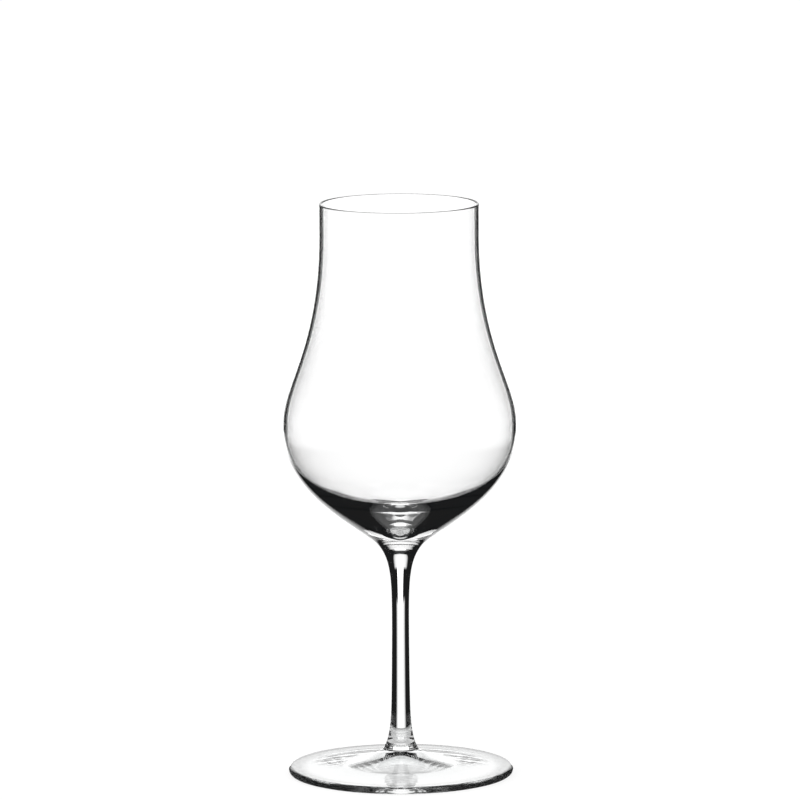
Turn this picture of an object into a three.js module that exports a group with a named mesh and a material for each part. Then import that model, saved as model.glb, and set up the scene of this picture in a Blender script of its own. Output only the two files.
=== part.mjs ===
import * as THREE from 'three';

// Brandy snifter on a tall stem, mouth-blown in clear crystal.
// A bowl, a drawn stem and a round foot are turned about +Z and meet face to face where they are melted
// together. Millimetres, +Z up, origin on the table under the middle of the foot.

// Foot
const FOOT_DIAMETER = 64.6;
const FOOT_EDGE_THICKNESS = 2.2;
const FOOT_HEIGHT = 7.0;
const FOOT_COLLAR_DIAMETER = 10.2;
const FOOT_COLLAR_SLOPE_DEG = 38;
const FOOT_BOSS_DIAMETER = 31;
const FOOT_BOSS_HEIGHT = 2.7;
const FOOT_BOSS_SLOPE_DEG = 13;
const FOOT_PLATE_SLOPE_DEG = 1.2;
const FOOT_HOLLOW_DEPTH = 5.2;
const FOOT_RESTING_RING_WIDTH = 2.93;

// Stem
const STEM_LENGTH = 61.8;
const STEM_TOP_DIAMETER = 4.35;
const STEM_BOTTOM_DIAMETER = 5.55;
const STEM_BOTTOM_FLARE_LENGTH = 3.9;

// Bowl, outside
const BOWL_HEIGHT = 96.2;
const BOWL_JOINT_DIAMETER = 17.7;
const BOWL_CONE_HALF_ANGLE_DEG = 54.2;
const BELLY_DIAMETER = 67.3;
const BELLY_HEIGHT = 32.4;
const MOUTH_DIAMETER = 45.9;
const MOUTH_STRAIGHT_LENGTH = 8.8;

// Bowl, inside
const LIP_WALL = 0.75;
const BELLY_WALL = 0.95;
const BASE_THICKNESS = 3.45;
const FLOOR_DIAMETER = 37.5;
const FLOOR_RISE = 7.41;
const FLOOR_SLOPE_DEG = 23.4;

// Fullness of the curves: how far each end of a curve holds its direction, as a share of the curve's span
const FULLNESS = {
  mouthToShoulder: 0.59,
  shoulderToBelly: 0.22,
  bellyToCone: 0.529,
  coneToBelly: 0.206,
  bellyToFloor: 0.685,
  floorToBelly: 0.122,
  floorToMiddle: 0.292,
  middleToFloor: 0.11,
  edgeToBoss: 0.4,
  bossToEdge: 0.13,
  bossToCollar: 0.4,
  collarToBoss: 0.22,
  hollowMiddle: 0.13,
  hollowSkirt: 0.32,
  hollowSkirtHeight: 0.05,
};

// Facets
const ROUND_SEGMENTS = 48;
const WALL_STEPS = 14;
const FLOOR_STEPS = 8;
const LIP_STEPS = 4;
const STEM_STEPS = 26;
const PLATE_STEPS = 10;
const EDGE_STEPS = 6;

// Heights, radii and angles that follow from the sizes above
const STEM_TOP_Z = FOOT_HEIGHT + STEM_LENGTH;
const BELLY_Z = STEM_TOP_Z + BELLY_HEIGHT;
const RIM_Z = STEM_TOP_Z + BOWL_HEIGHT;
const MOUTH_Z = RIM_Z - MOUTH_STRAIGHT_LENGTH;
const JOINT_RADIUS = BOWL_JOINT_DIAMETER / 2;
const COLLAR_RADIUS = FOOT_COLLAR_DIAMETER / 2;
const STEM_TOP_RADIUS = STEM_TOP_DIAMETER / 2;
const STEM_BOTTOM_RADIUS = STEM_BOTTOM_DIAMETER / 2;
const CONE_HALF_ANGLE = THREE.MathUtils.degToRad(BOWL_CONE_HALF_ANGLE_DEG);
const FLOOR_SLOPE = THREE.MathUtils.degToRad(FLOOR_SLOPE_DEG);
const COLLAR_SLOPE = THREE.MathUtils.degToRad(FOOT_COLLAR_SLOPE_DEG);
const BOSS_SLOPE = THREE.MathUtils.degToRad(FOOT_BOSS_SLOPE_DEG);
const PLATE_SLOPE = THREE.MathUtils.degToRad(FOOT_PLATE_SLOPE_DEG);

// A point of a profile: its radius and its height
function at(radius, z) {
  return new THREE.Vector2(radius, z);
}

// The point at a distance from another, in a direction measured upwards from the outward one
function along(start, angle, distance) {
  return at(start.x + distance * Math.cos(angle), start.y + distance * Math.sin(angle));
}

// Cubic curve from one point to another, leaving and arriving by its two handles, without its first point
function curve(start, startHandle, endHandle, end, steps) {
  return new THREE.CubicBezierCurve(start, startHandle, endHandle, end).getPoints(steps).slice(1);
}

// Half circle round an edge, turning anticlockwise from one angle, without its first point
function halfRound(centre, radius, fromAngle, steps) {
  const points = [];
  for (let step = 1; step <= steps; step += 1) {
    points.push(along(centre, fromAngle + (Math.PI * step) / steps, radius));
  }
  return points;
}

// Wall between the straight mouth and the belly, running down, without its first point
function shoulder(mouthRadius, bellyRadius) {
  const drop = MOUTH_Z - BELLY_Z;
  return curve(
    at(mouthRadius, MOUTH_Z),
    at(mouthRadius, MOUTH_Z - FULLNESS.mouthToShoulder * drop),
    at(bellyRadius, BELLY_Z + FULLNESS.shoulderToBelly * drop),
    at(bellyRadius, BELLY_Z),
    WALL_STEPS,
  );
}

// Outside of the bowl from the joint up to the straight mouth
function bowlOutside() {
  const bellyRadius = BELLY_DIAMETER / 2;
  const mouthRadius = MOUTH_DIAMETER / 2;
  const joint = at(JOINT_RADIUS, STEM_TOP_Z);
  const coneRise = FULLNESS.coneToBelly * BELLY_HEIGHT;
  const coneHandle = at(joint.x + coneRise * Math.tan(CONE_HALF_ANGLE), joint.y + coneRise);
  const bellyHandle = at(bellyRadius, BELLY_Z - FULLNESS.bellyToCone * BELLY_HEIGHT);
  const cone = curve(joint, coneHandle, bellyHandle, at(bellyRadius, BELLY_Z), WALL_STEPS);
  const neck = [at(mouthRadius, MOUTH_Z), ...shoulder(mouthRadius, bellyRadius)].reverse().slice(1);
  return [joint, ...cone, ...neck];
}

// Floor of the bowl from the belly down to its middle: a curved wall, then a shallow funnel over the heavy base
function bowlFloor(belly) {
  const middle = at(0, STEM_TOP_Z + BASE_THICKNESS);
  const floorEdge = at(FLOOR_DIAMETER / 2, middle.y + FLOOR_RISE);
  const wall = curve(
    belly,
    at(belly.x, belly.y - FULLNESS.bellyToFloor * (belly.y - floorEdge.y)),
    along(floorEdge, FLOOR_SLOPE, FULLNESS.floorToBelly * belly.distanceTo(floorEdge)),
    floorEdge,
    WALL_STEPS,
  );
  const funnel = curve(
    floorEdge,
    along(floorEdge, Math.PI + FLOOR_SLOPE, FULLNESS.floorToMiddle * floorEdge.distanceTo(middle)),
    at(FULLNESS.middleToFloor * floorEdge.x, middle.y),
    middle,
    FLOOR_STEPS,
  );
  return [...wall, ...funnel];
}

// Inside of the bowl from the straight mouth down to the middle of the floor
function bowlInside() {
  const belly = at(BELLY_DIAMETER / 2 - BELLY_WALL, BELLY_Z);
  const mouthRadius = MOUTH_DIAMETER / 2 - LIP_WALL;
  return [at(mouthRadius, MOUTH_Z), ...shoulder(mouthRadius, belly.x), ...bowlFloor(belly)];
}

function bowlProfile() {
  const lipRadius = LIP_WALL / 2;
  const lipCentre = at(MOUTH_DIAMETER / 2 - lipRadius, RIM_Z - lipRadius);
  const lipStart = at(MOUTH_DIAMETER / 2, lipCentre.y);
  const lip = halfRound(lipCentre, lipRadius, 0, LIP_STEPS);
  return [at(0, STEM_TOP_Z), ...bowlOutside(), lipStart, ...lip, ...bowlInside()];
}

// Radius of the stem at a height above its lower end: a tapered shank with a flare that dies away from each end
function stemRadius(height) {
  const shank = THREE.MathUtils.lerp(STEM_BOTTOM_RADIUS, STEM_TOP_RADIUS, height / STEM_LENGTH);
  const topFlare = JOINT_RADIUS - STEM_TOP_RADIUS;
  const topFlareLength = topFlare / Math.tan(CONE_HALF_ANGLE);
  const bottomFlare = COLLAR_RADIUS - STEM_BOTTOM_RADIUS;
  return (
    shank +
    topFlare * Math.exp((height - STEM_LENGTH) / topFlareLength) +
    bottomFlare * Math.exp(-height / STEM_BOTTOM_FLARE_LENGTH)
  );
}

function stemProfile() {
  const points = [at(0, FOOT_HEIGHT), at(COLLAR_RADIUS, FOOT_HEIGHT)];
  for (let step = 1; step < STEM_STEPS; step += 1) {
    const height = (STEM_LENGTH * (1 - Math.cos((Math.PI * step) / STEM_STEPS))) / 2;
    points.push(at(stemRadius(height), FOOT_HEIGHT + height));
  }
  points.push(at(JOINT_RADIUS, STEM_TOP_Z), at(0, STEM_TOP_Z));
  return points;
}

// Top of the foot from the rounded edge: a plate that rises gently, then a boss up to the crease at the collar
function footTop(edge) {
  const boss = at(FOOT_BOSS_DIAMETER / 2, FOOT_BOSS_HEIGHT);
  const collar = at(COLLAR_RADIUS, FOOT_HEIGHT);
  const plateLength = edge.distanceTo(boss);
  const bossLength = boss.distanceTo(collar);
  const plate = curve(
    edge,
    along(edge, Math.PI - PLATE_SLOPE, FULLNESS.edgeToBoss * plateLength),
    along(boss, -BOSS_SLOPE, FULLNESS.bossToEdge * plateLength),
    boss,
    PLATE_STEPS,
  );
  const rise = curve(
    boss,
    along(boss, Math.PI - BOSS_SLOPE, FULLNESS.bossToCollar * bossLength),
    along(collar, -COLLAR_SLOPE, FULLNESS.collarToBoss * bossLength),
    collar,
    PLATE_STEPS,
  );
  return [...plate, ...rise];
}

// Underside of the foot from the middle of its bell-shaped hollow out to the flat ring that it stands on
function footUnderside(ringOuterRadius) {
  const middle = at(0, FOOT_HOLLOW_DEPTH);
  const ringInner = at(ringOuterRadius - FOOT_RESTING_RING_WIDTH, 0);
  const hollow = curve(
    middle,
    at(FULLNESS.hollowMiddle * ringInner.x, FOOT_HOLLOW_DEPTH),
    at(FULLNESS.hollowSkirt * ringInner.x, FULLNESS.hollowSkirtHeight * FOOT_HOLLOW_DEPTH),
    ringInner,
    PLATE_STEPS,
  );
  return [middle, ...hollow, at(ringOuterRadius, 0)];
}

function footProfile() {
  const edgeRadius = FOOT_EDGE_THICKNESS / 2;
  const edgeCentre = at(FOOT_DIAMETER / 2 - edgeRadius, edgeRadius);
  const edge = halfRound(edgeCentre, edgeRadius, -Math.PI / 2, EDGE_STEPS);
  const top = footTop(at(edgeCentre.x, FOOT_EDGE_THICKNESS));
  return [...footUnderside(edgeCentre.x), ...edge, ...top, at(0, FOOT_HEIGHT)];
}

// Clear crystal, faintly cool in its thick parts
function crystal(colour) {
  return new THREE.MeshStandardMaterial({ color: colour, roughness: 0.03, metalness: 0 });
}

// A piece turned about +Z from its profile, which starts and ends on the axis
function turned(name, profile, colour) {
  const geometry = new THREE.LatheGeometry(profile, ROUND_SEGMENTS).rotateX(Math.PI / 2);
  const mesh = new THREE.Mesh(geometry, crystal(colour));
  mesh.name = name;
  return mesh;
}

const snifter = new THREE.Group();
snifter.add(turned('bowl', bowlProfile(), 0xf6f8f9));
snifter.add(turned('stem', stemProfile(), 0xeff3f5));
snifter.add(turned('foot', footProfile(), 0xf2f5f6));

export default snifter;
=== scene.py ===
"""Dresses the brandy snifter: a clear crystal bowl, stem and foot on a white studio stage."""

import logging
import math
from dataclasses import dataclass
from enum import Enum

import bpy
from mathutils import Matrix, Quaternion, Vector


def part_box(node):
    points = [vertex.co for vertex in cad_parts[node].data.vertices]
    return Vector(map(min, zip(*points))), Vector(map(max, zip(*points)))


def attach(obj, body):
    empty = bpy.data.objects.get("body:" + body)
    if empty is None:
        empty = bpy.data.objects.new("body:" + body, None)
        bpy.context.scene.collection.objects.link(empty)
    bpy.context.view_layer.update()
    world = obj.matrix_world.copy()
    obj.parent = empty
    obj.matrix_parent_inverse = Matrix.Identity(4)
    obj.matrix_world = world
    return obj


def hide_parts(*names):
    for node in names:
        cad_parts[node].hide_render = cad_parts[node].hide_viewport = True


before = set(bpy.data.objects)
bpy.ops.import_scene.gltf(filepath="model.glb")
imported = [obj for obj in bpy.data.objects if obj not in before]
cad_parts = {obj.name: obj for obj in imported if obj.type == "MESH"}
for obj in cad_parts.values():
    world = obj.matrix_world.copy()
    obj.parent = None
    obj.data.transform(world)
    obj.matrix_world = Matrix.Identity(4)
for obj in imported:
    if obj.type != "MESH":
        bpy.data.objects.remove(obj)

MM = 0.001
# Flat stretches get extra points this far from their ends, so that their smooth normals stay flat.
FLAT_GUARD = 0.05 * MM
LOG = logging.getLogger("snifter")

Point = tuple[float, float]


class Ray(Enum):
    """Kinds of ray that a piece of the stage can be shown to."""

    CAMERA = "visible_camera"
    DIFFUSE = "visible_diffuse"
    GLOSSY = "visible_glossy"
    TRANSMISSION = "visible_transmission"
    SCATTER = "visible_volume_scatter"
    SHADOW = "visible_shadow"


def cubic(start: Point, leave: Point, arrive: Point, end: Point, steps: int) -> list[Point]:
    """Points of a cubic curve, without its first point.

    Args:
        start: radius and height of the first end.
        leave: handle at the first end.
        arrive: handle at the last end.
        end: radius and height of the last end.
        steps: number of points.

    Returns:
        The points in order, the last of them at end.
    """
    points = []
    for step in range(1, steps + 1):
        t = step / steps
        weights = ((1 - t) ** 3, 3 * t * (1 - t) ** 2, 3 * t * t * (1 - t), t**3)
        corners = (start, leave, arrive, end)
        points.append(tuple(sum(w * c[axis] for w, c in zip(weights, corners)) for axis in (0, 1)))
    return points


def half_round(centre: Point, radius: float, start_angle: float, steps: int) -> list[Point]:
    """Points of an anticlockwise half circle, without its first point.

    Args:
        centre: radius and height of the circle's middle.
        radius: the circle's radius.
        start_angle: angle of the first end, in radians from the outward direction.
        steps: number of points.

    Returns:
        The points in order.
    """
    angles = [start_angle + math.pi * step / steps for step in range(1, steps + 1)]
    return [(centre[0] + radius * math.cos(a), centre[1] + radius * math.sin(a)) for a in angles]


def along(start: Point, angle: float, reach: float) -> Point:
    """Gives the point at a distance from another, in a direction from the outward one."""
    return start[0] + reach * math.cos(angle), start[1] + reach * math.sin(angle)


class Working(Enum):
    """How crystal was worked hot: waves per metre of its faint streaks across, along and round the axis."""

    BLOWN = (26.0, 40.0, 26.0)
    DRAWN = (900.0, 14.0, 900.0)
    SPUN = (260.0, 30.0, 0.0)


@dataclass(frozen=True)
class Crystal:
    """Clear fire-polished crystal with the faint waves of its making."""

    name: str
    working: Working
    tint: tuple[float, float, float] = (1.0, 1.0, 1.0)
    tint_depth: float = 0.02
    ior: float = 1.52
    wave_height: float = 0.002 * MM
    scuff_height: float = 0.0
    scuff_roughness: float = 0.3
    scuff_scale: float = 700.0
    scuff_detail: float = 3.0
    scuff_start: float = 0.45
    scuff_full: float = 0.75
    wave_detail: float = 1.0

    def streaks(self, tree: bpy.types.NodeTree) -> bpy.types.NodeSocket:
        """Makes the wave pattern, stretched the way that the piece was worked.

        Args:
            tree: the material's node tree.

        Returns:
            The pattern's value from 0 to 1.
        """
        nodes, links = tree.nodes, tree.links
        across, along_axis, around = self.working.value
        spot = nodes.new("ShaderNodeTexCoord").outputs["Object"]
        flat = nodes.new("ShaderNodeVectorMath")
        flat.operation = "MULTIPLY"
        flat.inputs[1].default_value = (1.0, 1.0, 0.0)
        links.new(spot, flat.inputs[0])
        radius = nodes.new("ShaderNodeVectorMath")
        radius.operation = "LENGTH"
        links.new(flat.outputs[0], radius.inputs[0])
        ring = nodes.new("ShaderNodeMath")
        ring.operation = "MULTIPLY"
        ring.inputs[1].default_value = across
        links.new(radius.outputs["Value"], ring.inputs[0])
        stretch = nodes.new("ShaderNodeVectorMath")
        stretch.operation = "MULTIPLY_ADD"
        stretch.inputs[1].default_value = (around, around, along_axis)
        links.new(spot, stretch.inputs[0])
        links.new(ring.outputs[0], stretch.inputs[2])
        waves = nodes.new("ShaderNodeTexNoise")
        waves.inputs["Scale"].default_value = 1.0
        waves.inputs["Detail"].default_value = self.wave_detail
        links.new(stretch.outputs[0], waves.inputs["Vector"])
        return waves.outputs["Fac"]

    def material(self) -> bpy.types.Material:
        """Makes the glass, whose waves bend the surface and vary the tint.

        Returns:
            The material, scuffed below scuff_height.
        """
        made = bpy.data.materials.new(self.name)
        made.use_nodes = True
        nodes, links = made.node_tree.nodes, made.node_tree.links
        shader = nodes["Principled BSDF"]
        shader.inputs["IOR"].default_value = self.ior
        shader.inputs["Roughness"].default_value = 0.0
        shader.inputs["Transmission Weight"].default_value = 1.0
        streaks = self.streaks(made.node_tree)
        colour = nodes.new("ShaderNodeMix")
        colour.data_type = "RGBA"
        colour.inputs["A"].default_value = (*self.tint, 1.0)
        colour.inputs["B"].default_value = (*(c * (1 - self.tint_depth) for c in self.tint), 1.0)
        links.new(streaks, colour.inputs["Factor"])
        links.new(colour.outputs["Result"], shader.inputs["Base Color"])
        bump = nodes.new("ShaderNodeBump")
        bump.inputs["Strength"].default_value = 1.0
        bump.inputs["Distance"].default_value = self.wave_height
        links.new(streaks, bump.inputs["Height"])
        links.new(bump.outputs["Normal"], shader.inputs["Normal"])
        if self.scuff_height > 0:
            links.new(self.scuffs(made.node_tree), shader.inputs["Roughness"])
        return made

    def scuffs(self, tree: bpy.types.NodeTree) -> bpy.types.NodeSocket:
        """Makes the roughness of the face that rubs on tables, broken up by fine scratches.

        Args:
            tree: the material's node tree.

        Returns:
            The roughness, which is nothing above the face.
        """
        nodes, links = tree.nodes, tree.links
        spot = nodes.new("ShaderNodeTexCoord").outputs["Object"]
        split = nodes.new("ShaderNodeSeparateXYZ")
        links.new(spot, split.inputs[0])
        low = nodes.new("ShaderNodeMath")
        low.operation = "LESS_THAN"
        low.inputs[1].default_value = self.scuff_height
        links.new(split.outputs["Z"], low.inputs[0])
        scratches = nodes.new("ShaderNodeTexNoise")
        scratches.inputs["Scale"].default_value = self.scuff_scale
        scratches.inputs["Detail"].default_value = self.scuff_detail
        links.new(spot, scratches.inputs["Vector"])
        rough = nodes.new("ShaderNodeMapRange")
        rough.inputs["From Min"].default_value = self.scuff_start
        rough.inputs["From Max"].default_value = self.scuff_full
        rough.inputs["To Max"].default_value = self.scuff_roughness
        links.new(scratches.outputs["Fac"], rough.inputs["Value"])
        worn = nodes.new("ShaderNodeMath")
        worn.operation = "MULTIPLY"
        links.new(rough.outputs["Result"], worn.inputs[0])
        links.new(low.outputs[0], worn.inputs[1])
        return worn.outputs[0]


@dataclass(frozen=True)
class Weld:
    """Faces where two pieces are melted together, which light passes unbent."""

    name: str = "melted_joint"

    def material(self) -> bpy.types.Material:
        """Makes a surface that light passes straight through.

        Returns:
            The material of the melted faces.
        """
        made = bpy.data.materials.new(self.name)
        made.use_nodes = True
        nodes = made.node_tree.nodes
        nodes.remove(nodes["Principled BSDF"])
        clear = nodes.new("ShaderNodeBsdfTransparent")
        made.node_tree.links.new(clear.outputs["BSDF"], nodes["Material Output"].inputs["Surface"])
        return made


@dataclass
class TurningTree:
    """Geometry Nodes tree that turns a profile about the upright axis."""

    name: str = "turned_glass"
    merge_distance: float = 0.001 * MM
    height_tolerance: float = 0.001 * MM
    sharp_angle: float = math.radians(22)

    def build(self) -> bpy.types.NodeTree:
        """Makes the tree.

        Returns:
            A tree whose named inputs are the number of segments, the two weld heights and the materials.
        """
        tree = bpy.data.node_groups.new(self.name, "GeometryNodeTree")
        face = tree.interface
        face.new_socket("Profile", in_out="INPUT", socket_type="NodeSocketGeometry")
        face.new_socket("Segments", in_out="INPUT", socket_type="NodeSocketInt")
        face.new_socket("Lower Weld", in_out="INPUT", socket_type="NodeSocketFloat")
        face.new_socket("Upper Weld", in_out="INPUT", socket_type="NodeSocketFloat")
        face.new_socket("Glass", in_out="INPUT", socket_type="NodeSocketMaterial")
        face.new_socket("Joint", in_out="INPUT", socket_type="NodeSocketMaterial")
        face.new_socket("Piece", in_out="OUTPUT", socket_type="NodeSocketGeometry")
        nodes, links = tree.nodes, tree.links

        def add(kind: str, **settings: object) -> bpy.types.Node:
            """Adds a node with its settings.

            Args:
                kind: the node's type.
                **settings: values of the node's own attributes.

            Returns:
                The node.
            """
            node = nodes.new(kind)
            for key, value in settings.items():
                setattr(node, key, value)
            return node

        def math_of(operation: str, first: object, second: object) -> bpy.types.NodeSocket:
            """Joins two values by a Math node.

            Args:
                operation: the node's operation.
                first: a socket or a number.
                second: a socket, a number, or None where the operation takes one value.

            Returns:
                The result's socket.
            """
            node = add("ShaderNodeMath", operation=operation)
            for socket, value in zip(node.inputs, (first, second)):
                if isinstance(value, bpy.types.NodeSocket):
                    links.new(value, socket)
                elif value is not None:
                    socket.default_value = value
            return node.outputs[0]

        given = add("NodeGroupInput")
        count = add("GeometryNodeAttributeDomainSize", component="MESH")
        links.new(given.outputs["Profile"], count.inputs["Geometry"])
        columns = math_of("ADD", given.outputs["Segments"], 1.0)
        grid = add("GeometryNodeMeshGrid")
        links.new(count.outputs["Point Count"], grid.inputs["Vertices X"])
        links.new(columns, grid.inputs["Vertices Y"])
        index = add("GeometryNodeInputIndex").outputs["Index"]
        row = math_of("FLOOR", math_of("DIVIDE", math_of("ADD", index, 0.5), columns), None)
        column = math_of("SUBTRACT", index, math_of("MULTIPLY", row, columns))
        place = add("GeometryNodeSampleIndex", data_type="FLOAT_VECTOR", domain="POINT")
        links.new(given.outputs["Profile"], place.inputs["Geometry"])
        links.new(add("GeometryNodeInputPosition").outputs[0], place.inputs["Value"])
        links.new(row, place.inputs["Index"])
        split = add("ShaderNodeSeparateXYZ")
        links.new(place.outputs["Value"], split.inputs[0])
        turn = math_of("DIVIDE", column, given.outputs["Segments"])
        angle = math_of("MULTIPLY", turn, -math.tau)
        join = add("ShaderNodeCombineXYZ")
        links.new(math_of("MULTIPLY", split.outputs["X"], math_of("COSINE", angle, None)), join.inputs["X"])
        links.new(math_of("MULTIPLY", split.outputs["X"], math_of("SINE", angle, None)), join.inputs["Y"])
        links.new(split.outputs["Z"], join.inputs["Z"])
        move = add("GeometryNodeSetPosition")
        links.new(grid.outputs["Mesh"], move.inputs["Geometry"])
        links.new(join.outputs[0], move.inputs["Position"])
        merge = add("GeometryNodeMergeByDistance")
        merge.inputs["Distance"].default_value = self.merge_distance
        links.new(move.outputs["Geometry"], merge.inputs["Geometry"])
        smooth = add("GeometryNodeSetShadeSmooth", domain="FACE")
        links.new(merge.outputs["Geometry"], smooth.inputs[0])
        crease = add("GeometryNodeSetShadeSmooth", domain="EDGE")
        crease.inputs["Shade Smooth"].default_value = False
        links.new(smooth.outputs[0], crease.inputs[0])
        bend = add("GeometryNodeInputMeshEdgeAngle")
        sharp = math_of("GREATER_THAN", bend.outputs["Unsigned Angle"], self.sharp_angle)
        links.new(sharp, crease.inputs["Selection"])
        height = add("ShaderNodeSeparateXYZ")
        links.new(add("GeometryNodeInputPosition").outputs[0], height.inputs[0])
        picks = []
        for weld in ("Lower Weld", "Upper Weld"):
            near = add("FunctionNodeCompare", data_type="FLOAT", operation="EQUAL")
            near.inputs["Epsilon"].default_value = self.height_tolerance
            links.new(height.outputs["Z"], near.inputs["A"])
            links.new(given.outputs[weld], near.inputs["B"])
            picks.append(near.outputs["Result"])
        either = add("FunctionNodeBooleanMath", operation="OR")
        for pick, socket in zip(picks, either.inputs):
            links.new(pick, socket)
        realize = add("GeometryNodeRealizeInstances")
        links.new(crease.outputs[0], realize.inputs[0])
        glass = add("GeometryNodeSetMaterial")
        links.new(realize.outputs[0], glass.inputs["Geometry"])
        links.new(given.outputs["Glass"], glass.inputs["Material"])
        joint = add("GeometryNodeSetMaterial")
        links.new(glass.outputs[0], joint.inputs["Geometry"])
        links.new(either.outputs[0], joint.inputs["Selection"])
        links.new(given.outputs["Joint"], joint.inputs["Material"])
        links.new(joint.outputs[0], add("NodeGroupOutput").inputs["Piece"])
        return tree


@dataclass
class TurnedPiece:
    """A crystal piece turned about the upright axis, which stands for one CAD node."""

    node: str
    finish: Crystal
    segments: int = 192

    def profile(self) -> list[Point]:
        """Gives the radius and height of each profile point, from axis to axis."""
        raise NotImplementedError

    def welds(self) -> tuple[float, float]:
        """Gives the heights of the lower and upper melted joint, or -1 where there is none."""
        raise NotImplementedError

    def build(self, tree: bpy.types.NodeTree, joint: bpy.types.Material) -> bpy.types.Object:
        """Turns the profile into a plain mesh and puts it in place of its CAD node.

        Args:
            tree: the turning tree.
            joint: material of the melted joints.

        Returns:
            The finished piece.
        """
        points = [(radius, 0.0, height) for radius, height in self.profile()]
        line = bpy.data.meshes.new(f"{self.node}_profile")
        line.from_pydata(points, [(i, i + 1) for i in range(len(points) - 1)], [])
        host = bpy.data.objects.new(f"{self.node}_profile", line)
        bpy.context.scene.collection.objects.link(host)
        turning = host.modifiers.new("turning", "NODES")
        turning.node_group = tree
        lower, upper = self.welds()
        wanted = {
            "Segments": self.segments,
            "Lower Weld": lower,
            "Upper Weld": upper,
            "Glass": self.finish.material(),
            "Joint": joint,
        }
        for item in tree.interface.items_tree:
            if item.in_out == "INPUT" and item.name in wanted:
                turning[item.identifier] = wanted[item.name]
        graph = bpy.context.evaluated_depsgraph_get()
        mesh = bpy.data.meshes.new_from_object(host.evaluated_get(graph), depsgraph=graph)
        bpy.data.objects.remove(host)
        piece = bpy.data.objects.new(f"crystal_{self.node}", mesh)
        bpy.context.scene.collection.objects.link(piece)
        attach(piece, "root")
        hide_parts(self.node)
        return piece


@dataclass
class Bowl(TurnedPiece):
    """Tulip bowl with a straight mouth, a rounded lip and a heavy base."""

    mouth_radius: float = 22.85 * MM
    belly_radius: float = 33.45 * MM
    mouth_straight: float = 8.8 * MM
    belly_height: float = 32.4 * MM
    cone_half_angle: float = math.radians(54.2)
    lip_wall: float = 0.75 * MM
    belly_wall: float = 0.8 * MM
    base_thickness: float = 3.45 * MM
    floor_radius: float = 18.75 * MM
    floor_rise: float = 7.41 * MM
    floor_slope: float = math.radians(23.4)
    shoulder_leave: float = 0.59
    shoulder_arrive: float = 0.22
    cone_reach: float = 0.206
    under_belly_reach: float = 0.529
    inner_belly_reach: float = 0.685
    floor_wall_reach: float = 0.122
    funnel_reach: float = 0.292
    floor_middle_reach: float = 0.11
    wall_steps: int = 64
    lip_steps: int = 16

    def welds(self) -> tuple[float, float]:
        """Gives the height of the joint with the stem."""
        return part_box("bowl")[0].z, -1.0

    def shoulder(self, mouth: Point, belly: Point) -> list[Point]:
        """Gives the wall from the straight mouth down to the belly.

        Args:
            mouth: radius and height at the lower end of the straight mouth.
            belly: radius and height at the belly.

        Returns:
            The points in order, without the first.
        """
        drop = mouth[1] - belly[1]
        leave = (mouth[0], mouth[1] - self.shoulder_leave * drop)
        arrive = (belly[0], belly[1] + self.shoulder_arrive * drop)
        return cubic(mouth, leave, arrive, belly, self.wall_steps)

    def profile(self) -> list[Point]:
        """Gives the bowl's profile.

        Returns:
            The points up the outside, over the lip and down the inside.
        """
        low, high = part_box("bowl")
        joint = (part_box("stem")[1].x, low.z)
        belly = (self.belly_radius, low.z + self.belly_height)
        mouth = (self.mouth_radius, high.z - self.mouth_straight)
        rise = self.cone_reach * self.belly_height
        cone = (joint[0] + rise * math.tan(self.cone_half_angle), joint[1] + rise)
        under_belly = (belly[0], belly[1] - self.under_belly_reach * self.belly_height)
        outside = [joint, *cubic(joint, cone, under_belly, belly, self.wall_steps)]
        outside += [mouth, *self.shoulder(mouth, belly)][-2::-1]
        lip_radius = self.lip_wall / 2
        lip_centre = (self.mouth_radius - lip_radius, high.z - lip_radius)
        flat_end = lip_centre[1] - FLAT_GUARD
        inner_radius = self.mouth_radius - self.lip_wall
        lip = [
            (self.mouth_radius, flat_end),
            (self.mouth_radius, lip_centre[1]),
            *half_round(lip_centre, lip_radius, 0.0, self.lip_steps),
            (inner_radius, flat_end),
        ]
        inner_mouth = (inner_radius, mouth[1])
        inner_belly = (belly[0] - self.belly_wall, belly[1])
        inside = [inner_mouth, *self.shoulder(inner_mouth, inner_belly), *self.floor(inner_belly)]
        return [(0.0, low.z), *outside, *lip, *inside]

    def floor(self, belly: Point) -> list[Point]:
        """Gives the inside from the belly down to the middle of the funnel-shaped floor.

        Args:
            belly: radius and height of the inside at the belly.

        Returns:
            The points in order, without the first.
        """
        middle = (0.0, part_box("bowl")[0].z + self.base_thickness)
        edge = (self.floor_radius, middle[1] + self.floor_rise)
        wall_reach = self.floor_wall_reach * math.dist(belly, edge)
        funnel_reach = self.funnel_reach * math.dist(edge, middle)
        wall = cubic(
            belly,
            (belly[0], belly[1] - self.inner_belly_reach * (belly[1] - edge[1])),
            along(edge, self.floor_slope, wall_reach),
            edge,
            self.wall_steps,
        )
        funnel = cubic(
            edge,
            along(edge, math.pi + self.floor_slope, funnel_reach),
            (self.floor_middle_reach * edge[0], middle[1]),
            middle,
            self.wall_steps,
        )
        return wall + funnel


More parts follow.
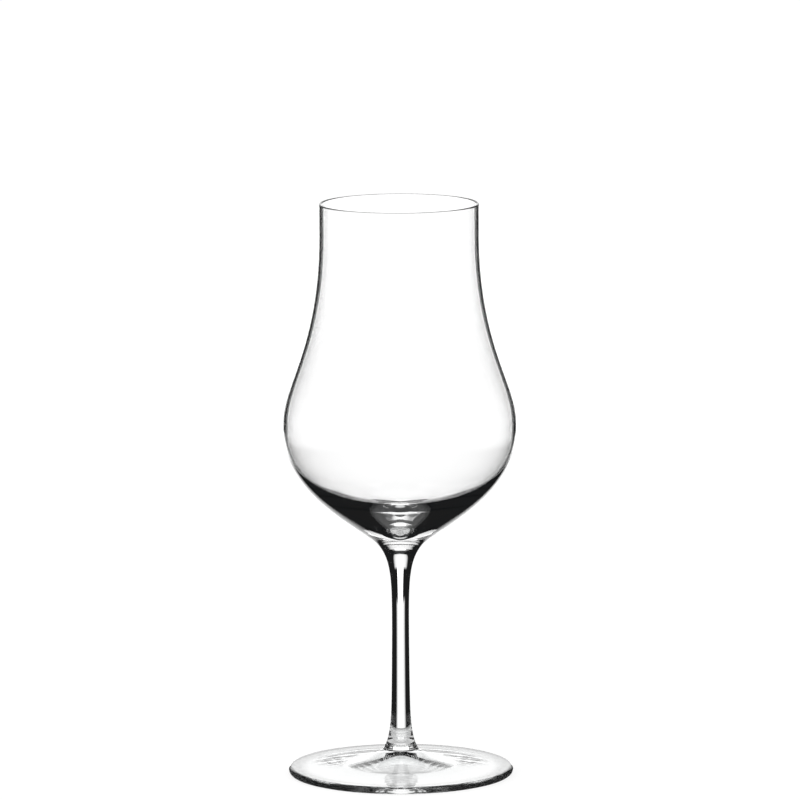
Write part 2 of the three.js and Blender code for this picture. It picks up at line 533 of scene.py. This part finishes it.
@dataclass
class Stem(TurnedPiece):
    """Slim drawn shank with a flare at each end."""

    top_radius: float = 2.175 * MM
    bottom_radius: float = 2.775 * MM
    collar_radius: float = 5.1 * MM
    bottom_flare: float = 3.9 * MM
    cone_half_angle: float = math.radians(54.2)
    steps: int = 140

    def welds(self) -> tuple[float, float]:
        """Gives the heights of the joints with the foot and with the bowl."""
        low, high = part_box("stem")
        return low.z, high.z

    def radius(self, height: float) -> float:
        """Gives the stem's radius.

        Args:
            height: height above the lower end.

        Returns:
            The radius of the shank with both its flares.
        """
        low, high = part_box("stem")
        length = high.z - low.z
        shank = self.bottom_radius + (self.top_radius - self.bottom_radius) * height / length
        top = high.x - self.top_radius
        top_flare = top / math.tan(self.cone_half_angle)
        bottom = self.collar_radius - self.bottom_radius
        top_part = top * math.exp((height - length) / top_flare)
        bottom_part = bottom * math.exp(-height / self.bottom_flare)
        return shank + top_part + bottom_part

    def profile(self) -> list[Point]:
        """Gives the stem's profile.

        Returns:
            The points from the foot up to the bowl, closer together at the flares.
        """
        low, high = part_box("stem")
        length = high.z - low.z
        points = [(0.0, low.z), (self.collar_radius, low.z)]
        for step in range(1, self.steps):
            height = length * (1 - math.cos(math.pi * step / self.steps)) / 2
            points.append((self.radius(height), low.z + height))
        return [*points, (high.x, high.z), (0.0, high.z)]


@dataclass
class Foot(TurnedPiece):
    """Round plate with a raised boss, a rounded edge and a bell-shaped hollow underneath."""

    edge_thickness: float = 2.2 * MM
    plate_slope: float = math.radians(1.2)
    collar_radius: float = 5.1 * MM
    collar_slope: float = math.radians(38)
    boss_radius: float = 15.5 * MM
    boss_height: float = 2.7 * MM
    boss_slope: float = math.radians(13)
    hollow_depth: float = 5.2 * MM
    ring_width: float = 2.93 * MM
    ripple_height: float = 0.004 * MM
    ripple_length: float = 2.6 * MM
    slow_ripple_ratio: float = 1.62
    plate_reach: float = 0.4
    boss_foot_reach: float = 0.13
    boss_reach: float = 0.4
    collar_reach: float = 0.22
    hollow_top: float = 0.13
    hollow_skirt: float = 0.32
    hollow_skirt_height: float = 0.05
    curve_steps: int = 96
    edge_steps: int = 24

    def welds(self) -> tuple[float, float]:
        """Gives the height of the joint with the stem."""
        return -1.0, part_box("foot")[1].z

    def underside(self, ring: float) -> list[Point]:
        """Gives the hollow from its middle out to the ring that the foot stands on.

        Args:
            ring: inner radius of the standing ring.

        Returns:
            The points in order.
        """
        middle = (0.0, self.hollow_depth)
        top = (self.hollow_top * ring, self.hollow_depth)
        skirt = (self.hollow_skirt * ring, self.hollow_skirt_height * self.hollow_depth)
        return [middle, *cubic(middle, top, skirt, (ring, 0.0), self.curve_steps)]

    def upside(self, edge: Point) -> list[Point]:
        """Gives the plate from its edge, and the boss up to the collar.

        Args:
            edge: radius and height where the plate leaves the rounded edge.

        Returns:
            The points in order, without the first.
        """
        collar = (self.collar_radius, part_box("foot")[1].z)
        boss = (self.boss_radius, self.boss_height)
        flat, rise = math.dist(edge, boss), math.dist(boss, collar)
        plate = cubic(
            edge,
            along(edge, math.pi - self.plate_slope, self.plate_reach * flat),
            along(boss, -self.boss_slope, self.boss_foot_reach * flat),
            boss,
            self.curve_steps,
        )
        slope = cubic(
            boss,
            along(boss, math.pi - self.boss_slope, self.boss_reach * rise),
            along(collar, -self.collar_slope, self.collar_reach * rise),
            collar,
            self.curve_steps,
        )
        return [(r, z + self.ripple(r, edge[0])) for r, z in plate] + slope

    def ripple(self, radius: float, edge: float) -> float:
        """Gives the height of the turning ripples, which die away at both ends of the plate.

        Args:
            radius: radius of the point on the plate.
            edge: radius of the plate's edge.

        Returns:
            The height to add to the plate.
        """
        share = (radius - self.boss_radius) / (edge - self.boss_radius)
        waves = math.sin(math.tau * radius / self.ripple_length)
        slow_waves = math.sin(math.tau * radius / (self.slow_ripple_ratio * self.ripple_length))
        return self.ripple_height * math.sin(math.pi * share) * (waves + slow_waves)

    def profile(self) -> list[Point]:
        """Gives the foot's profile.

        Returns:
            The points out along the underside, round the edge and up to the collar.
        """
        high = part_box("foot")[1]
        edge_radius = self.edge_thickness / 2
        edge_centre = (high.x - edge_radius, edge_radius)
        ring = edge_centre[0] - self.ring_width
        flat = [(ring + FLAT_GUARD, 0.0), (edge_centre[0] - FLAT_GUARD, 0.0), (edge_centre[0], 0.0)]
        edge = half_round(edge_centre, edge_radius, -math.pi / 2, self.edge_steps)
        top = self.upside((edge_centre[0], self.edge_thickness))
        return [*self.underside(ring), *flat, *edge, *top, (0.0, high.z)]


@dataclass
class PhotoCamera:
    """Camera at the photograph's viewing angle."""

    distance: float = 2.140
    height: float = 0.430
    target_height: float = 0.10837
    target_side: float = 0.00009
    roll: float = math.radians(-0.21)
    lens_mm: float = 340.9
    sensor_mm: float = 36.0
    far_clip: float = 20.0

    def reach(self) -> float:
        """Gives the distance from the camera to the point it looks at."""
        return math.hypot(self.distance, self.height - self.target_height)

    def build(self) -> bpy.types.Object:
        """Makes the camera and gives it to the scene.

        Returns:
            The camera.
        """
        lens = bpy.data.cameras.new("photo_camera")
        lens.lens = self.lens_mm
        lens.sensor_width = self.sensor_mm
        lens.clip_end = self.far_clip
        camera = bpy.data.objects.new("photo_camera", lens)
        bpy.context.scene.collection.objects.link(camera)
        camera.location = (0.0, -self.distance, self.height)
        look = Vector((self.target_side, 0.0, self.target_height)) - camera.location
        turn = look.to_track_quat("-Z", "Y") @ Quaternion((0.0, 0.0, 1.0), self.roll)
        camera.rotation_euler = turn.to_euler()
        bpy.context.scene.camera = camera
        return camera


def show_only(obj: bpy.types.Object, *rays: Ray) -> None:
    """Hides a stage object from every kind of ray but those given."""
    for ray in Ray:
        setattr(obj, ray.value, ray in rays)


@dataclass(frozen=True)
class Ramp:
    """Value that runs in straight lines between stops and stays level beyond them."""

    stops: tuple[Point, ...]

    def at(self, place: float) -> float:
        """Gives the value at a place.

        Args:
            place: where the value is wanted.

        Returns:
            The value there.
        """
        if place <= self.stops[0][0]:
            return self.stops[0][1]
        for (start, first), (end, last) in zip(self.stops, self.stops[1:]):
            if place <= end:
                return first + (last - first) * (place - start) / (end - start)
        return self.stops[-1][1]


def glowing(
    name: str,
    corners: list[tuple[float, float, float]],
    faces: list[tuple[int, ...]],
    levels: list[float],
) -> bpy.types.Object:
    """Makes a surface that shines with its own level at each corner.

    Args:
        name: name of the surface and its material.
        corners: places of the corners.
        faces: corner numbers of each face.
        levels: strength of the light at each corner, 1 for white.

    Returns:
        The surface.
    """
    mesh = bpy.data.meshes.new(name)
    mesh.from_pydata(corners, [], faces)
    mesh.attributes.new("level", "FLOAT", "POINT").data.foreach_set("value", levels)
    made = bpy.data.materials.new(name)
    made.use_nodes = True
    made.cycles.emission_sampling = "NONE"
    nodes, links = made.node_tree.nodes, made.node_tree.links
    nodes.remove(nodes["Principled BSDF"])
    level = nodes.new("ShaderNodeAttribute")
    level.attribute_name = "level"
    light = nodes.new("ShaderNodeEmission")
    links.new(level.outputs["Fac"], light.inputs["Strength"])
    links.new(light.outputs[0], nodes["Material Output"].inputs["Surface"])
    mesh.materials.append(made)
    surface = bpy.data.objects.new(name, mesh)
    bpy.context.scene.collection.objects.link(surface)
    return surface


WIDE_LIGHT = Ramp(
    (
        (-24.0, 0.0),
        (-20.0, 0.56),
        (-17.0, 0.93),
        (-9.0, 1.16),
        (0.0, 1.24),
        (8.0, 1.16),
        (14.6, 0.93),
        (17.2, 0.56),
        (20.6, 0.0),
    )
)
BOWL_LIGHT = Ramp(
    ((0.0, 1.25), (3.0, 1.38), (6.0, 1.62), (8.0, 1.7), (9.0, 2.1), (10.5, 2.6), (10.6, 0.0))
)


@dataclass(frozen=True)
class Backlight:
    """White panel fixed to the camera behind the glass, laid out by the angles at which the glass sees it."""

    name: str = "backlight"
    away: float = 3.0
    sides: int = 62
    bottom: int = -31
    top: int = 62
    steps_per_degree: int = 2
    dark_level: float = 0.012
    wide: Ramp = WIDE_LIGHT
    wide_width: Ramp = Ramp(((-30.6, 0.70), (0.0, 1.0), (12.0, 1.12)))
    bowl: Ramp = BOWL_LIGHT
    bowl_share: Ramp = Ramp(((-1.9, 0.0), (-1.3, 1.0), (10.0, 1.0), (13.0, 0.0)))

    def level(self, side: float, up: float) -> float:
        """Gives the light's level in a direction.

        Args:
            side: angle to the right of the camera's view, in degrees.
            up: angle above the camera's view, in degrees.

        Returns:
            The strength, which is 1 for white.
        """
        wide = self.wide.at(side / self.wide_width.at(up))
        bowl = self.bowl.at(abs(side))
        return max(wide + (bowl - wide) * self.bowl_share.at(up), self.dark_level)

    def build(self, camera: bpy.types.Object) -> None:
        """Makes the panel.

        Args:
            camera: the camera, whose target the panel stands behind.
        """
        corners, levels, faces = [], [], []
        across = range(-self.sides * self.steps_per_degree, self.sides * self.steps_per_degree + 1)
        for row in range(self.bottom * self.steps_per_degree, self.top * self.steps_per_degree + 1):
            for column in across:
                side, up = column / self.steps_per_degree, row / self.steps_per_degree
                turn = math.radians(side)
                height = math.tan(math.radians(up)) / math.cos(turn)
                corners.append((self.away * math.tan(turn), self.away * height, 0.0))
                levels.append(self.level(side, up))
        columns = len(across)
        for first in range(len(corners) - columns):
            if first % columns < columns - 1:
                faces.append((first, first + 1, first + columns + 1, first + columns))
        panel = glowing(self.name, corners, faces, levels)
        panel.parent = camera
        panel.location = (0.0, 0.0, -PhotoCamera().reach() - self.away)
        show_only(panel, Ray.GLOSSY, Ray.TRANSMISSION)


@dataclass(frozen=True)
class TableUnderFoot:
    """Glowing disc that stands for the white table as it shows through the foot, with painted shade under the
    stem and where the foot stands on it.
    """

    name: str = "table_under_foot"
    # Painted shade: the disc glows dimmer under the stem, and dimmer again out toward the foot's standing
    # ring and edge.
    level: Ramp = Ramp(
        ((4.0 * MM, 0.6), (12.0 * MM, 0.95), (26.0 * MM, 0.95), (29.0 * MM, 0.5), (32.0 * MM, 0.35))
    )
    reach: float = 32.0 * MM
    drop: float = 0.02 * MM
    rings: int = 64
    sides: int = 64

    def build(self) -> None:
        """Makes the glowing disc of table with its painted shade, which only rays that leave the glass see.
        """
        corners, levels, faces = [], [], []
        for ring in range(1, self.rings + 1):
            radius = self.reach * ring / self.rings
            for side in range(self.sides):
                turn = math.tau * side / self.sides
                corners.append((radius * math.cos(turn), radius * math.sin(turn), -self.drop))
                levels.append(self.level.at(radius))
        for first in range(len(corners) - self.sides):
            start = first - first % self.sides
            follow = start + (first + 1) % self.sides
            faces.append((first, first + self.sides, follow + self.sides, follow))
        table = glowing(self.name, corners, faces, levels)
        show_only(table, Ray.TRANSMISSION)


@dataclass
class Studio:
    """White stage with a backlight behind the glass and darkness round it."""

    floor_half_width: float = 3.0
    backlight: Backlight = Backlight()
    table: TableUnderFoot = TableUnderFoot()
    surround_level: float = 0.012
    surround_colour: tuple[float, float, float] = (0.9, 0.95, 1.0)
    floor_grey: float = 0.2
    floor_glow: float = 0.82
    lamp_place: tuple[float, float, float] = (-0.3, 0.1, 1.4)
    lamp_width: float = 1.2
    lamp_power: float = 4.0
    bounces: int = 32

    def build(self, camera: bpy.types.Object) -> None:
        """Makes the world, the floor, the lamp, the backlight and the table under the foot.

        Args:
            camera: the camera, which the backlight is fixed to.
        """
        self.light_paths()
        self.world()
        self.floor()
        self.lamp()
        self.backlight.build(camera)
        self.table.build()

    def light_paths(self) -> None:
        """Lets light turn often enough inside the thick crystal."""
        paths = bpy.context.scene.cycles
        paths.max_bounces = paths.transmission_bounces = paths.glossy_bounces = self.bounces
        paths.transparent_max_bounces = self.bounces

    def world(self) -> None:
        """Makes a world that is white to the camera and dark round the glass."""
        world = bpy.data.worlds.new("studio")
        bpy.context.scene.world = world
        world.use_nodes = True
        nodes, links = world.node_tree.nodes, world.node_tree.links
        white = nodes["Background"]
        white.inputs["Color"].default_value = (1.0, 1.0, 1.0, 1.0)
        dark = nodes.new("ShaderNodeBackground")
        dark.inputs["Color"].default_value = (*self.surround_colour, 1.0)
        dark.inputs["Strength"].default_value = self.surround_level
        path = nodes.new("ShaderNodeLightPath")
        through = nodes.new("ShaderNodeMath")
        through.operation = "MAXIMUM"
        links.new(path.outputs["Is Glossy Ray"], through.inputs[0])
        links.new(path.outputs["Is Transmission Ray"], through.inputs[1])
        mix = nodes.new("ShaderNodeMixShader")
        links.new(through.outputs[0], mix.inputs["Fac"])
        links.new(white.outputs[0], mix.inputs[1])
        links.new(dark.outputs[0], mix.inputs[2])
        links.new(mix.outputs[0], nodes["World Output"].inputs["Surface"])

    def floor(self) -> None:
        """Makes the pale floor, which the camera sees as white with the glass's soft shadow."""
        half = self.floor_half_width
        mesh = bpy.data.meshes.new("studio_floor")
        corners = [(-half, -half, 0), (half, -half, 0), (half, half, 0), (-half, half, 0)]
        mesh.from_pydata(corners, [], [(0, 1, 2, 3)])
        floor = bpy.data.objects.new("studio_floor", mesh)
        bpy.context.scene.collection.objects.link(floor)
        made = bpy.data.materials.new("pale_floor")
        made.use_nodes = True
        nodes, links = made.node_tree.nodes, made.node_tree.links
        shader = nodes["Principled BSDF"]
        shader.inputs["Base Color"].default_value = (self.floor_grey, self.floor_grey, self.floor_grey, 1.0)
        shader.inputs["Roughness"].default_value = 1.0
        shader.inputs["Specular IOR Level"].default_value = 0.0
        shader.inputs["Emission Color"].default_value = (1.0, 1.0, 1.0, 1.0)
        path = nodes.new("ShaderNodeLightPath")
        level = nodes.new("ShaderNodeMath")
        level.operation = "MULTIPLY"
        level.inputs[1].default_value = self.floor_glow
        links.new(path.outputs["Is Camera Ray"], level.inputs[0])
        links.new(level.outputs[0], shader.inputs["Emission Strength"])
        mesh.materials.append(made)
        show_only(floor, Ray.CAMERA, Ray.DIFFUSE, Ray.SHADOW)

    def lamp(self) -> None:
        """Makes one broad soft lamp overhead."""
        light = bpy.data.lights.new("overhead", "AREA")
        light.shape = "DISK"
        light.size = self.lamp_width
        light.energy = self.lamp_power
        lamp = bpy.data.objects.new("overhead", light)
        bpy.context.scene.collection.objects.link(lamp)
        lamp.location = self.lamp_place
        lamp.rotation_euler = (-Vector(self.lamp_place)).to_track_quat("-Z", "Y").to_euler()
        lamp.visible_glossy = False
        lamp.visible_transmission = False


def main() -> None:
    """Builds the camera, the crystal pieces and the stage."""
    logging.basicConfig(level=logging.INFO, format="%(name)s: %(message)s")
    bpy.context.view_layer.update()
    bpy.context.scene.view_settings.view_transform = "Standard"
    camera = PhotoCamera().build()
    tree = TurningTree().build()
    joint = Weld().material()
    pieces = (
        Bowl("bowl", Crystal("bowl_crystal", Working.BLOWN)),
        Stem("stem", Crystal("stem_crystal", Working.DRAWN), segments=128),
        Foot("foot", Crystal("foot_crystal", Working.SPUN, tint=(0.91, 0.92, 0.92), scuff_height=0.01 * MM)),
    )
    for piece in pieces:
        made = piece.build(tree, joint)
        LOG.info("%s: %d faces", made.name, len(made.data.polygons))
    Studio().build(camera)


if __name__ == "__main__":
    main()
